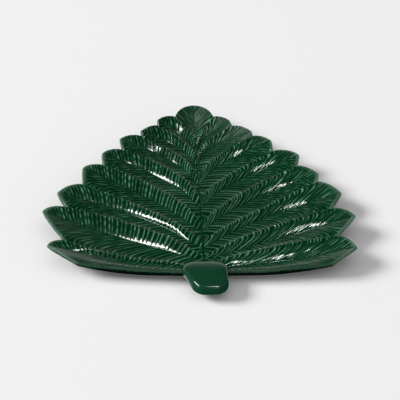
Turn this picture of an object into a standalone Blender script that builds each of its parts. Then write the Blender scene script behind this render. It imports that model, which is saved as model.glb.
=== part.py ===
"""Serving platter in the shape of a fir tree, in glazed stoneware.

A pressed dish with a scalloped outline carries a central stem, seventeen boughs that are tiled over it,
and a trunk that is let into its front lip. The dish stands on a foot ring. Lengths are in metres, +Z is up,
+Y points at the tip of the tree, and the origin is on the table under the middle of the platter.
"""

import math
from typing import NamedTuple

import bmesh
import bpy
from mathutils import Vector

OBJECT_NAME = "Tree platter"


class Bough(NamedTuple):
    """One bough beside the stem. The two rows were modelled by hand and aren't quite alike."""

    reach: float      # of the tip, out from the middle plane
    climb: float      # of the tip, along Y
    sweep: float      # degrees that the tip points above the X axis
    setback: float    # of the notch below the tip, back along the sweep
    drop: float       # of the notch below the tip, square to the sweep
    bow: float        # of the midrib towards the tip of the tree, as a share of its length
    crest_bow: float  # of the line to the next bough down, in the same way


LEFT = -1.0
RIGHT = 1.0

# Where the pairs of midribs, and of the lines above them, leave the stem, from the top of the tree down
ROOTS = (0.079, 0.051, 0.014, -0.0255, -0.0685, -0.0975, -0.116, -0.129)
CREST_ROOTS = (0.0955, 0.066, 0.035, -0.006, -0.051, -0.082, -0.109, -0.124)

# The boughs, from the top of the tree down. The notch of the last is the corner of the front lip.
BOUGHS = {
    LEFT: (
        Bough(0.0437, 0.1316, 34.5, 0.0051, 0.0084, 0.34, 0.32),
        Bough(0.0637, 0.1066, 33.5, 0.0055, 0.0061, 0.40, 0.25),
        Bough(0.0876, 0.0899, 35.5, 0.0142, 0.0143, 0.33, 0.28),
        Bough(0.1071, 0.0600, 30.0, 0.0112, 0.0172, 0.25, 0.21),
        Bough(0.1278, 0.0306, 24.0, 0.0126, 0.0254, 0.16, 0.13),
        Bough(0.1531, -0.0157, 27.0, 0.0192, 0.0164, 0.20, 0.17),
        Bough(0.1668, -0.0484, 22.5, 0.0405, 0.0335, 0.03, -0.07),
        Bough(0.1583, -0.1067, 1.5, 0.0305, 0.0235, 0.02, 0.00),
    ),
    RIGHT: (
        Bough(0.0406, 0.1316, 37.5, 0.0039, 0.0108, 0.32, 0.30),
        Bough(0.0650, 0.1071, 33.0, 0.0030, 0.0071, 0.43, 0.21),
        Bough(0.0862, 0.0884, 38.0, 0.0114, 0.0160, 0.26, 0.14),
        Bough(0.1155, 0.0574, 27.5, 0.0128, 0.0144, 0.21, 0.14),
        Bough(0.1329, 0.0207, 30.0, 0.0086, 0.0093, 0.19, 0.07),
        Bough(0.1533, -0.0160, 23.5, 0.0231, 0.0174, 0.175, 0.135),
        Bough(0.1624, -0.0567, 21.5, 0.0330, 0.0209, 0.065, 0.13),
        Bough(0.1561, -0.1103, 14.0, 0.0318, 0.0153, 0.02, 0.00),
    ),
}
TOP_TIP = 0.164
TOP_SETBACK = 0.0225
TOP_DROP = 0.0228
TOP_BOWS = {LEFT: 0.28, RIGHT: 0.10}  # of the lines on both sides of the top bough, as for the others
BOW_PLACE = 0.42        # share of a bowed line's length beside which its bow is drawn out
TIP_ARC = math.radians(80)  # turn of the outline from a tip to the notch above it
BELOW_BEND = 1.15       # power of the outline below a tip, where 1 is straight to the notch
ARC_EASE = 3            # power of the share at which a bough's lines ease out to the outline

# Dish
FOOT_HEIGHT = 0.004
DISH_WALL = 0.0036
RIM_WALL = 0.0024
RIM_CHAMFER = 0.0025
TIP_RISE = 0.0130       # of the tips above the well
NOTCH_SINK = 0.0026     # of the notches below the tips
WELL_REACH = 0.4        # share of each bough that lies flat
FRONT = -0.1395         # front lip at the middle, along Y
LIP_RISE = 0.0055
LIP_OVERHANG = 0.0085   # of the lip over the foot of its outer face, beside the trunk
LIP_FADE = 0.6          # share of the lip that keeps its full rise
LIP_BEND = 0.5          # share of the lip's way out at which its curve turns to the corner
LIP_EASE = 3            # power of the span at which the well climbs to the lip

# Boughs and stem
LUTE = 0.0003           # joint of slip between two pieces
RIB_THICKNESS = 0.0022
CREST_THICKNESS = 0.0046
TUCK_THICKNESS = 0.0034  # of a bough's lower edge, beside the next bough's crest
EDGE_THICKNESS = 0.0024
SWELL_END = 0.1         # share of a bough by which its crest has its full thickness
FLANK_EASE = 2.4        # power at which a flank swells to its crest
THINNING_START = 0.7    # share of a bough from which it thins to its edge
STEM_THICKNESS = 0.0024
STEM_FOOT_WIDTH = 0.006
STEM_TOP_WIDTH = 0.004

# Trunk
TRUNK_BACK = -0.126
TRUNK_FRONT = -0.1655
TRUNK_BACK_WIDTH = 0.046
TRUNK_FRONT_WIDTH = 0.036
TRUNK_LEAN = 0.004      # of the trunk's front end to the right
TRUNK_CORNER = 0.012
TRUNK_UNDERSIDE = 0.0045
TRUNK_TOP = 0.0190
TRUNK_FALL = 0.0045     # of the trunk's top towards its front end
TRUNK_ROUNDING = 0.0040

# Foot ring
FOOT_REACH = 0.38       # share of a midrib at which the ring's corners are centred
FOOT_CORNER = 0.022
FOOT_WALL = 0.006

# Mesh density
LENGTH_STEPS = 7
HALF_STEPS = 3
CORNER_STEPS = 48
ROUNDING_STEPS = 3
CREASE = math.radians(35)    # an edge sharper than this is shaded as an edge
ROUNDED = math.radians(60)   # an edge of the trunk sharper than this is rounded

GLAZE_GREEN = (0.012, 0.050, 0.024, 1.0)
STONEWARE = (0.62, 0.55, 0.46, 1.0)

FRONT_BOUGH = len(ROOTS)
WELL_SEAT = FOOT_HEIGHT + LUTE + DISH_WALL
STEM_TOP = CREST_ROOTS[0]


def fresh_collections():
    """Remove what the scene holds, and return new collections for the parts and for the cutters."""
    for item in list(bpy.data.objects):
        bpy.data.objects.remove(item)
    found = []
    for name in (OBJECT_NAME, OBJECT_NAME + " cutters"):
        collection = bpy.data.collections.new(name)
        bpy.context.scene.collection.children.link(collection)
        found.append(collection)
    return found


def glaze(name, colour, roughness):
    """Return a plain Principled material."""
    material = bpy.data.materials.new(name)
    material.use_nodes = True
    shader = material.node_tree.nodes["Principled BSDF"]
    shader.inputs["Base Color"].default_value = colour
    shader.inputs["Roughness"].default_value = roughness
    shader.inputs["Metallic"].default_value = 0.0
    return material


def add_object(mesh, name, collection, colour=GLAZE_GREEN, roughness=0.12):
    """Put a bmesh into a new named object with its own material."""
    bmesh.ops.recalc_face_normals(mesh, faces=mesh.faces[:])
    data = bpy.data.meshes.new(name)
    mesh.to_mesh(data)
    mesh.free()
    data.materials.append(glaze(name + "_glaze", colour, roughness))
    item = bpy.data.objects.new(name, data)
    collection.objects.link(item)
    data.shade_smooth()
    data.set_sharp_from_angle(angle=CREASE)
    return item


def smooth(value):
    """Ease from 0 to 1, held at both ends."""
    value = min(max(value, 0.0), 1.0)
    return value * value * (3.0 - 2.0 * value)


def stem_half(y):
    """Half of the stem's width at a place along Y: it tapers evenly from the trunk to its top."""
    share = (y - TRUNK_BACK) / (STEM_TOP - TRUNK_BACK)
    return 0.5 * (STEM_FOOT_WIDTH + share * (STEM_TOP_WIDTH - STEM_FOOT_WIDTH))


def midrib_axes(number, side):
    """Unit vectors along a bough's sweep and square to it, away from the tree's tip."""
    if number == 0:
        return Vector((0.0, 1.0)), Vector((side, 0.0))
    angle = math.radians(BOUGHS[side][number - 1].sweep)
    along = Vector((side * math.cos(angle), math.sin(angle)))
    across = Vector((side * math.sin(angle), -math.cos(angle)))
    return along, across


def curve(start, bend, end, share):
    """Point on a quadratic curve, and the direction of the curve there."""
    first = start.lerp(bend, share)
    second = bend.lerp(end, share)
    return first.lerp(second, share), (second - first).normalized()


def drawn_out(start, end, bow, side):
    """Bend of a line that bows towards the tip of the tree, by a share of its length."""
    chord = end - start
    return start + BOW_PLACE * chord + bow * side * Vector((-chord.y, chord.x))


def midrib(number, side, share):
    """Point on the midrib of a bough, numbered down from 1 on each side, or of the top bough, 0."""
    if number == 0:
        return Vector((0.0, STEM_TOP + share * (TOP_TIP - STEM_TOP)))
    size = BOUGHS[side][number - 1]
    root = ROOTS[number - 1]
    start = Vector((side * stem_half(root), root))
    tip = Vector((side * size.reach, size.climb))
    return curve(start, drawn_out(start, tip, size.bow, side), tip, share)[0]


def notch(number, side):
    """Point of the outline where a bough meets the next one down, or the corner of the front lip."""
    along, across = midrib_axes(number, side)
    setback, drop = (TOP_SETBACK, TOP_DROP)
    if number > 0:
        setback = BOUGHS[side][number - 1].setback
        drop = BOUGHS[side][number - 1].drop
    return midrib(number, side, 1.0) - setback * along + drop * across


def crest(number, side, share, shift=0.0):
    """Point on the line between a bough and the next one down.

    The line climbs beside the stem first and then turns out to the notch. Below the last bough it is the front
    lip, which leaves the trunk square to the stem. The point is moved up the tree by shift, square to the line.
    """
    end = notch(number, side)
    if number == FRONT_BOUGH:
        start = Vector((side * stem_half(FRONT), FRONT))
        bend = Vector((LIP_BEND * end.x, FRONT))
    else:
        start = Vector((side * stem_half(CREST_ROOTS[number]), CREST_ROOTS[number]))
        bow = BOUGHS[side][number - 1].crest_bow if number > 0 else TOP_BOWS[side]
        bend = drawn_out(start, end, bow, side)
    point, tangent = curve(start, bend, end, share)
    return point + shift * side * Vector((-tangent.y, tangent.x))


def plan(number, side, share, span, lute=0.0):
    """Plan point of a bough: share runs from the stem to the outline, span from the upper crest to the lower.

    On the top bough, span runs from the right-hand crest to the left-hand one. Lines of equal span are drawn
    between the midrib and the crests. Near the outline they stretch out to the arc from the tip to the notch
    above it, and to the straighter edge from the tip to the notch below it.
    """
    if number == 0:
        side = RIGHT if span < 0.0 else LEFT
    line = number - 1 if number > 0 and span < 0.0 else number
    shift = 0.5 * lute if line == number else -0.5 * lute
    if line == FRONT_BOUGH:
        shift = 0.0
    width = abs(span)
    tip = midrib(number, side, 1.0)
    along, across = midrib_axes(number, side)
    chord = notch(line, side) - tip
    if number > 0 and line == number:
        back = width ** BELOW_BEND - width
        out = 0.0
    else:
        back = (1.0 - math.cos(width * TIP_ARC)) / (1.0 - math.cos(TIP_ARC)) - width
        out = math.sin(width * TIP_ARC) / math.sin(TIP_ARC) - width
    bulge = back * chord.dot(along) * along + out * chord.dot(across) * across
    point = midrib(number, side, share).lerp(crest(line, side, share, shift), width)
    point += share ** ARC_EASE * bulge
    away = Vector((0.0, 1.0)) if number == 0 else Vector((side, 0.0))
    return point + lute * (1.0 - share) * away


def flare(share, span):
    """Rise of the dish towards the outline, over the flat well. The notches stay lower than the tips."""
    climb = max(0.0, (share - WELL_REACH) / (1.0 - WELL_REACH)) ** 2
    return climb * (TIP_RISE - NOTCH_SINK * span * span)


def lip(number, share, span):
    """Extra rise of the front bough's lower half towards the front lip. It fades out at the corner."""
    if number != FRONT_BOUGH or span < 0.0:
        return 0.0
    fade = 1.0 - smooth((share - LIP_FADE) / (1.0 - LIP_FADE))
    return LIP_RISE * fade * span ** LIP_EASE


def seat(number, share, span):
    """Height of the dish's upper face, which the boughs are luted to."""
    return WELL_SEAT + flare(share, span) + lip(number, share, span)


def thickness(number, share, span):
    """Thickness of a bough: thin at the midrib, thick along the crest, and even at the outline.

    The upper flank is steep beside the midrib and flat at its crest. The lower one is the other way round.
    """
    high = TUCK_THICKNESS
    swell = abs(span) ** FLANK_EASE
    if number > 0 and span < 0.0:
        high = CREST_THICKNESS
        swell = 1.0 - (1.0 + span) ** FLANK_EASE
    swell *= smooth(share / SWELL_END)
    middle = RIB_THICKNESS + swell * (high - RIB_THICKNESS)
    edge = smooth((share - THINNING_START) / (1.0 - THINNING_START))
    return middle + edge * (EDGE_THICKNESS - middle)


def split_alike(mesh):
    """Split warped quads at their shorter diagonal, so that a bough and its seat have the same facets."""
    bmesh.ops.triangulate(mesh, faces=mesh.faces[:], quad_method="SHORT_EDGE")


def add_bough(name, number, side, collection):
    """Make one bough as a slab over the dish: a grid along and across it, drawn down to its seat."""
    mesh = bmesh.new()
    bmesh.ops.create_grid(mesh, x_segments=LENGTH_STEPS, y_segments=2 * HALF_STEPS, size=1.0)
    drawn = bmesh.ops.extrude_face_region(mesh, geom=mesh.faces[:], use_keep_orig=True)["geom"]
    lower = {item for item in drawn if isinstance(item, bmesh.types.BMVert)}
    for vert in mesh.verts:
        share = 0.5 * (vert.co.x + 1.0)
        span = vert.co.y
        point = plan(number, side, share, span, LUTE)
        height = seat(number, share, span) + LUTE
        if vert not in lower:
            height += thickness(number, share, span)
        vert.co = (point.x, point.y, height)
    split_alike(mesh)
    return add_object(mesh, name, collection)


def dish_strip(row):
    """Bough number, side and span at a place along the strip that runs round the dish from lip to lip."""
    tile = min(int(row), 2 * FRONT_BOUGH)
    span = 2.0 * (row - tile) - 1.0
    if tile < FRONT_BOUGH:
        return FRONT_BOUGH - tile, RIGHT, -span
    return tile - FRONT_BOUGH, LEFT, span


def middle_point(number, span):
    """Plan point where the dish's sheet meets the middle plane, beside the root of a bough.

    The top bough has no root on the stem, so its end of the sheet closes on the row below the topmost crest.
    """
    if number == 0 or (number == 1 and span == -1.0):
        number = 1
        span = 1.0 / HALF_STEPS - 1.0
    return Vector((0.0, plan(number, RIGHT, 0.0, span).y))


def underside_inset(number, side, share, span):
    """Move from a point of the dish's upper edge to the underside: a chamfer, or the front lip's overhang."""
    if number == FRONT_BOUGH and span > 0.0:
        return Vector((0.0, LIP_OVERHANG * (1.0 - share * share) * span))
    if share < 1.0:
        return Vector((0.0, 0.0))
    inner = plan(number, side, 1.0 - 1.0 / LENGTH_STEPS, span)
    return (inner - plan(number, side, share, span)).normalized() * RIM_CHAMFER


def add_dish(collection):
    """Make the dish as one sheet that follows the boughs, drawn down to its underside."""
    mesh = bmesh.new()
    tiles = 2 * FRONT_BOUGH + 1
    bmesh.ops.create_grid(mesh, x_segments=LENGTH_STEPS + 1, y_segments=2 * HALF_STEPS * tiles, size=1.0)
    walls = mesh.verts.layers.float.new("wall")
    insets = mesh.verts.layers.float_vector.new("inset")
    for vert in mesh.verts:
        column = round(0.5 * (vert.co.x + 1.0) * (LENGTH_STEPS + 1))
        row = round((vert.co.y + 1.0) * HALF_STEPS * tiles) / (2 * HALF_STEPS)
        share = max(column - 1, 0) / LENGTH_STEPS
        number, side, span = dish_strip(row)
        point = middle_point(number, span) if column == 0 else plan(number, side, share, span)
        thin = smooth((share - WELL_REACH) / (1.0 - WELL_REACH)) * (DISH_WALL - RIM_WALL)
        vert[walls] = DISH_WALL - thin + lip(number, share, span)
        vert[insets] = underside_inset(number, side, share, span).to_3d()
        vert.co = (point.x, point.y, seat(number, share, span))
    bmesh.ops.remove_doubles(mesh, verts=mesh.verts[:], dist=0.00001)
    split_alike(mesh)
    drawn = bmesh.ops.extrude_face_region(mesh, geom=mesh.faces[:], use_keep_orig=True)["geom"]
    for item in drawn:
        if isinstance(item, bmesh.types.BMVert):
            item.co += item[insets] - Vector((0.0, 0.0, item[walls]))
    return add_object(mesh, "base_dish", collection)


def rounded_outline(corners, radius, steps):
    """Points of the outline that wraps circles of one radius round the given corners."""
    points = []
    for step in range(steps):
        angle = 2.0 * math.pi * step / steps
        way = Vector((math.cos(angle), math.sin(angle)))
        furthest = max(corners, key=way.dot)
        points.append(furthest + radius * way)
    return points


def outline_loop(mesh, points, height):
    """Add a closed loop of edges through plan points, at one height."""
    loop = bmesh.ops.create_circle(mesh, segments=len(points), radius=1.0)["verts"]
    for vert, point in zip(loop, points):
        vert.co = (point.x, point.y, height)
    return loop


def prism(points, low, high):
    """Return a closed bmesh: an outline drawn up from low to high."""
    mesh = bmesh.new()
    loop = outline_loop(mesh, points, low)
    face = bmesh.ops.contextual_create(mesh, geom=loop)["faces"]
    drawn = bmesh.ops.extrude_face_region(mesh, geom=face, use_keep_orig=True)["geom"]
    for item in drawn:
        if isinstance(item, bmesh.types.BMVert):
            item.co.z = high
    return mesh


def trunk_corners():
    """Centres of the trunk's rounded corners in plan."""
    centres = []
    for side in (LEFT, RIGHT):
        back = side * (0.5 * TRUNK_BACK_WIDTH - TRUNK_CORNER)
        front = side * (0.5 * TRUNK_FRONT_WIDTH - TRUNK_CORNER) + TRUNK_LEAN
        centres.append(Vector((back, TRUNK_BACK - TRUNK_CORNER)))
        centres.append(Vector((front, TRUNK_FRONT + TRUNK_CORNER)))
    return centres


def add_trunk(collection):
    """Make the trunk: a tapered lug with rounded corners and edges, whose top falls to the front."""
    points = rounded_outline(trunk_corners(), TRUNK_CORNER, CORNER_STEPS)
    mesh = prism(points, TRUNK_UNDERSIDE, TRUNK_TOP)
    for vert in mesh.verts:
        ahead = (TRUNK_BACK - vert.co.y) / (TRUNK_BACK - TRUNK_FRONT)
        above = (vert.co.z - TRUNK_UNDERSIDE) / (TRUNK_TOP - TRUNK_UNDERSIDE)
        vert.co.z -= TRUNK_FALL * ahead * above
    trunk = add_object(mesh, "trunk_handle", collection)
    rounding = trunk.modifiers.new("Rounded edges", "BEVEL")
    rounding.width = TRUNK_ROUNDING
    rounding.segments = ROUNDING_STEPS
    rounding.limit_method = "ANGLE"
    rounding.angle_limit = ROUNDED
    return trunk


def add_trunk_cutter(collection):
    """Make the cutter for the seat that the trunk is let into, one joint of slip larger than the trunk."""
    points = rounded_outline(trunk_corners(), TRUNK_CORNER + LUTE, CORNER_STEPS)
    cutter = add_object(prism(points, -FOOT_HEIGHT, TRUNK_TOP + FOOT_HEIGHT), "trunk_seat_cutter", collection)
    cutter.hide_render = True
    cutter.display_type = "WIRE"
    return cutter


def cut_seat(item, cutter):
    """Cut the trunk's seat out of a piece."""
    seat_cut = item.modifiers.new("Trunk seat", "BOOLEAN")
    seat_cut.operation = "DIFFERENCE"
    seat_cut.solver = "EXACT"
    seat_cut.object = cutter


def add_stem(collection):
    """Make the stem: a tapered strip from the trunk to the top bough."""
    mesh = bmesh.new()
    bmesh.ops.create_cube(mesh, size=1.0)
    low = WELL_SEAT + LUTE
    for vert in mesh.verts:
        y = STEM_TOP if vert.co.y > 0.0 else TRUNK_BACK + LUTE
        x = math.copysign(stem_half(y), vert.co.x)
        z = low + STEM_THICKNESS if vert.co.z > 0.0 else low
        vert.co = (x, y, z)
    return add_object(mesh, "stem", collection)


def add_foot_ring(collection):
    """Make the foot: a rounded triangle of wall under the well."""
    corners = [midrib(FRONT_BOUGH - 1, side, FOOT_REACH) for side in (LEFT, RIGHT)]
    corners.append(Vector((0.0, ROOTS[1])))
    mesh = bmesh.new()
    loop = outline_loop(mesh, rounded_outline(corners, FOOT_CORNER, CORNER_STEPS), 0.0)
    edges = list({edge for vert in loop for edge in vert.link_edges})
    drawn = bmesh.ops.extrude_edge_only(mesh, edges=edges)["geom"]
    for item in drawn:
        if isinstance(item, bmesh.types.BMVert):
            item.co.z = FOOT_HEIGHT
    ring = add_object(mesh, "foot_ring", collection, STONEWARE, 0.75)
    wall = ring.modifiers.new("Foot wall", "SOLIDIFY")
    wall.thickness = FOOT_WALL
    wall.offset = 0.0
    wall.use_even_offset = True
    return ring


def main():
    """Build the platter."""
    parts, cutters = fresh_collections()
    cutter = add_trunk_cutter(cutters)
    dish = add_dish(parts)
    cut_seat(dish, cutter)
    add_stem(parts)
    add_bough("bough_top", 0, RIGHT, parts)
    for number in range(1, FRONT_BOUGH + 1):
        for word, side in (("left", LEFT), ("right", RIGHT)):
            bough = add_bough(f"bough_{word}_{number}", number, side, parts)
            if number == FRONT_BOUGH:
                cut_seat(bough, cutter)
    add_trunk(parts)
    add_foot_ring(parts)


main()
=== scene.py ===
"""Looks of a serving platter in the shape of a fir tree, in dark green glazed stoneware.

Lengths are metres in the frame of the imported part: +Z is up and +Y points at the tip of the tree. A plan
point is a complex number, x + iy, so that a whole grid of them is one array. A place on a bough has a share,
which is the way from the stem to the outline, and a width, which is the way from the midrib to the crest.
The crest is the line between a bough and the next one. Both run from 0 to 1.
"""

from __future__ import annotations

import logging
import math
from dataclasses import dataclass
from enum import Enum
from typing import Any

import bmesh
import bpy
import numpy as np
from bpy.types import Material, Node, NodeSocket, NodeTree, Object
from mathutils import Matrix, Vector

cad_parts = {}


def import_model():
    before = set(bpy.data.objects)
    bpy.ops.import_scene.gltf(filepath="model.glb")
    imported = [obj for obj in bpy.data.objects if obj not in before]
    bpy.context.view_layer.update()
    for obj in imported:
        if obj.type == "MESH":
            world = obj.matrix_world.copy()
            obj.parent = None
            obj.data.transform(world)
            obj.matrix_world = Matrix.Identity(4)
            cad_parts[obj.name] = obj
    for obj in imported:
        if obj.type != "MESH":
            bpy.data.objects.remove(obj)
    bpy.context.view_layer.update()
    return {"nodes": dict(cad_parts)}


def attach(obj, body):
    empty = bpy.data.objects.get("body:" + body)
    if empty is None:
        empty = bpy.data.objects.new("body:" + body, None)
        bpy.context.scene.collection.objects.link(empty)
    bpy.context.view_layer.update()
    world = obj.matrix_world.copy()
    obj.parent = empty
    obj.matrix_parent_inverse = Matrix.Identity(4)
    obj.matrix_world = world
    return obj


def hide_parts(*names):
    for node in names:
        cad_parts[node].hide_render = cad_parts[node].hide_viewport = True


log = logging.getLogger("tree_platter")

Grid = np.ndarray

MM = 0.001
MERGE_DISTANCE = 0.002 * MM
LEAST_WAY = 0.001
TRAITS = ("thin_glaze_and_highlight", "groove", "rim", "dry")

# Rates of the sine that scatters whole numbers.
SCATTER_RATE = 127.1
SCATTER_SEED = 311.7
SCATTER_GAIN = 43758.5453

# Steps between the seeds of the flanks, and between the lots that a needle draws for its traits.
NUMBER_SEED = 0.618
SIDE_SEED = 0.13
DASH_LOT = 0.2
GLINT_LOT = 0.3
END_LOT = 0.5


class Side(Enum):
    """The two rows of boughs, as signs of X."""

    LEFT = -1.0
    RIGHT = 1.0


class Flank(Enum):
    """The two halves of a bough, towards the tree's tip and away from it, as seeds of their needles."""

    UPPER = 0.37
    LOWER = 0.71


def ease(value: Grid | float) -> Grid:
    """Ease from 0 to 1 by the cubic 3t² − 2t³, held at both ends."""
    held = np.clip(value, 0.0, 1.0)
    return held * held * (3.0 - 2.0 * held)


@dataclass(frozen=True)
class Span:
    """A stretch over which something eases in, as its start and its length."""

    start: float
    length: float

    def at(self, value: Grid) -> Grid:
        """How far it has eased in at each value, from 0 to 1."""
        return ease((value - self.start) / self.length)


def scatter(number: Grid, seed: float) -> Grid:
    """Give each whole number a fixed value from 0 to 1: the fraction of a very large sine."""
    return np.mod(np.sin(number * SCATTER_RATE + seed * SCATTER_SEED) * SCATTER_GAIN, 1.0)


def quadratic(start: Any, bend: Any, end: Any, way: Any) -> Any:
    """Points on a quadratic curve: (1 − t)² start + 2t(1 − t) bend + t² end, at shares t of the way."""
    return (1.0 - way) ** 2 * start + 2.0 * way * (1.0 - way) * bend + way**2 * end


def quads(rows: int, columns: int, start: int = 0, ring: bool = False) -> list[list[int]]:
    """List the quads of a grid whose points are numbered row by row.

    Args:
        rows: Number of rows of points.
        columns: Number of points in a row.
        start: Number of the first point.
        ring: Whether the last column joins the first.

    Returns:
        Four point numbers for each face.
    """
    corner = start + np.arange(rows * columns).reshape(rows, columns)
    if ring:
        corner = np.concatenate([corner, corner[:, :1]], axis=1)
    stacked = np.stack([corner[:-1, :-1], corner[1:, :-1], corner[1:, 1:], corner[:-1, 1:]], axis=-1)
    return stacked.reshape(-1, 4).tolist()


def lift(plan: Grid, height: Grid) -> Grid:
    """Join plan points and heights into rows of x, y, z."""
    plan, height = np.broadcast_arrays(plan, height)
    return np.stack([plan.real, plan.imag, height], axis=-1).reshape(-1, 3)


def closed_piece(
    name: str,
    points: Grid,
    faces: list[list[int]],
    crease: float,
    traits: dict[str, Grid] | None = None,
) -> Object:
    """Make a smooth closed mesh object in its place, with doubles merged and faces turned outwards.

    Args:
        name: Name of the piece.
        points: Rows of x, y, z.
        faces: Point numbers of each face.
        crease: Edges sharper than this many degrees stay sharp.
        traits: Values for each point that the finish reads, by name.

    Returns:
        The new object, at the origin.
    """
    mesh = bpy.data.meshes.new(name)
    mesh.from_pydata(points.tolist(), [], faces)
    for trait, values in (traits or {}).items():
        layer = mesh.attributes.new(trait, "FLOAT", "POINT")
        layer.data.foreach_set("value", np.ascontiguousarray(values, dtype=np.float32).ravel())
    work = bmesh.new()
    work.from_mesh(mesh)
    bmesh.ops.remove_doubles(work, verts=work.verts[:], dist=MERGE_DISTANCE)
    bmesh.ops.recalc_face_normals(work, faces=work.faces[:])
    work.to_mesh(mesh)
    work.free()
    mesh.shade_smooth()
    mesh.set_sharp_from_angle(angle=math.radians(crease))
    piece = bpy.data.objects.new(name, mesh)
    bpy.context.scene.collection.objects.link(piece)
    return piece


class Piece:
    """One piece of the platter. Each kind builds its own mesh, and all are dressed alike."""

    node: str
    slot: str

    def build(self) -> Object:
        """Make the piece's mesh object in its place."""
        raise NotImplementedError

    def dress(self, piece: Object, material: Material) -> None:
        """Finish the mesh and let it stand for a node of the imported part.

        Args:
            piece: The mesh object.
            material: The finish.
        """
        piece.data.materials.clear()
        piece.data.materials.append(material)
        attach(piece, "root")
        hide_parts(self.node)
        log.info("%s: %d faces, %s", piece.name, len(piece.data.polygons), material.name)


@dataclass(frozen=True)
class BoughSize:
    """One bough beside the stem. The two rows aren't quite alike.

    The tip lies reach out from the middle plane and climb along Y, and points sweep degrees above the X
    axis. The notch below it is setback back along that direction and drop square to it. The bows are those
    of the midrib and of the line to the next bough down, as shares of their lengths.
    """

    reach: float
    climb: float
    sweep: float
    setback: float
    drop: float
    bow: float
    crest_bow: float


@dataclass(frozen=True)
class TreePlan:
    """Plan and heights of the platter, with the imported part's own values."""

    roots: tuple[float, ...] = (0.079, 0.051, 0.014, -0.0255, -0.0685, -0.0975, -0.116, -0.129)
    crest_roots: tuple[float, ...] = (0.0955, 0.066, 0.035, -0.006, -0.051, -0.082, -0.109, -0.124)
    left: tuple[BoughSize, ...] = (
        BoughSize(0.0437, 0.1316, 34.5, 0.0051, 0.0084, 0.34, 0.32),
        BoughSize(0.0637, 0.1066, 33.5, 0.0055, 0.0061, 0.40, 0.25),
        BoughSize(0.0876, 0.0899, 35.5, 0.0142, 0.0143, 0.33, 0.28),
        BoughSize(0.1071, 0.0600, 30.0, 0.0112, 0.0172, 0.25, 0.21),
        BoughSize(0.1278, 0.0306, 24.0, 0.0126, 0.0254, 0.16, 0.13),
        BoughSize(0.1531, -0.0157, 27.0, 0.0192, 0.0164, 0.20, 0.17),
        BoughSize(0.1668, -0.0484, 22.5, 0.0405, 0.0335, 0.03, -0.07),
        BoughSize(0.1583, -0.1067, 1.5, 0.0305, 0.0235, 0.02, 0.00),
    )
    right: tuple[BoughSize, ...] = (
        BoughSize(0.0406, 0.1316, 37.5, 0.0039, 0.0108, 0.32, 0.30),
        BoughSize(0.0650, 0.1071, 33.0, 0.0030, 0.0071, 0.43, 0.21),
        BoughSize(0.0862, 0.0884, 38.0, 0.0114, 0.0160, 0.26, 0.14),
        BoughSize(0.1155, 0.0574, 27.5, 0.0128, 0.0144, 0.21, 0.14),
        BoughSize(0.1329, 0.0207, 30.0, 0.0086, 0.0093, 0.19, 0.07),
        BoughSize(0.1533, -0.0160, 23.5, 0.0231, 0.0174, 0.175, 0.135),
        BoughSize(0.1624, -0.0567, 21.5, 0.0330, 0.0209, 0.065, 0.13),
        BoughSize(0.1561, -0.1103, 14.0, 0.0318, 0.0153, 0.02, 0.00),
    )
    top_tip: float = 0.164
    top_setback: float = 0.0225
    top_drop: float = 0.0228
    top_bow_left: float = 0.28
    top_bow_right: float = 0.10
    bow_place: float = 0.42
    tip_arc: float = math.radians(80)
    below_bend: float = 1.15
    arc_ease: int = 3
    stem_foot_width: float = 0.006
    stem_top_width: float = 0.004
    trunk_back: float = -0.126
    front: float = -0.1395
    lip_bend: float = 0.5
    well_seat: float = 0.0079
    well_reach: float = 0.4
    tip_rise: float = 0.0130
    notch_sink: float = 0.0026
    lip_rise: float = 0.0055
    lip_fade: float = 0.6
    lip_ease: int = 3

    @property
    def front_bough(self) -> int:
        """Number of the boughs beside the trunk."""
        return len(self.roots)

    @property
    def stem_top(self) -> float:
        """Where the stem ends and the top bough begins, along Y."""
        return self.crest_roots[0]

    def stem_half(self, y: Grid | float) -> Grid | float:
        """Half of the stem's width at a place along Y. The stem tapers evenly."""
        share = (y - self.trunk_back) / (self.stem_top - self.trunk_back)
        return 0.5 * (self.stem_foot_width + share * (self.stem_top_width - self.stem_foot_width))

    def size(self, number: int, side: Side) -> BoughSize:
        """Sizes of a bough, numbered down from 1 on each side, or of the top bough, 0.

        Args:
            number: Number of the bough.
            side: Its row.

        Returns:
            The sizes. The top bough's are given as for a bough that points up the tree.
        """
        if number == 0:
            crest_bow = self.top_bow_left if side is Side.LEFT else self.top_bow_right
            return BoughSize(0.0, self.top_tip, 90.0, self.top_setback, self.top_drop, 0.0, crest_bow)
        row = self.left if side is Side.LEFT else self.right
        return row[number - 1]

    def along(self, number: int, side: Side) -> complex:
        """Unit step in a bough's sweep, towards its tip."""
        sweep = math.radians(self.size(number, side).sweep)
        return complex(side.value * math.cos(sweep), math.sin(sweep))

    def across(self, number: int, side: Side) -> complex:
        """Unit step square to a bough's sweep, away from the tip of the tree."""
        sweep = math.radians(self.size(number, side).sweep)
        return complex(side.value * math.sin(sweep), -math.cos(sweep))

    def drawn_out(self, start: complex, end: complex, bow: float, side: Side) -> complex:
        """Bend of a line that bows towards the tip of the tree, by a share of its length."""
        return start + (self.bow_place + 1j * bow * side.value) * (end - start)

    def rib_line(self, number: int, side: Side) -> tuple[complex, complex, complex]:
        """Start, bend and end of a midrib, which is a quadratic curve from the stem to the tip."""
        size = self.size(number, side)
        base = self.stem_top if number == 0 else self.roots[number - 1]
        start = complex(0.0 if number == 0 else side.value * self.stem_half(base), base)
        end = complex(side.value * size.reach, size.climb)
        return start, self.drawn_out(start, end, size.bow, side), end

    def midrib(self, number: int, side: Side, share: Grid | float) -> Grid | complex:
        """Plan points on a bough's midrib."""
        return quadratic(*self.rib_line(number, side), share)

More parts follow.
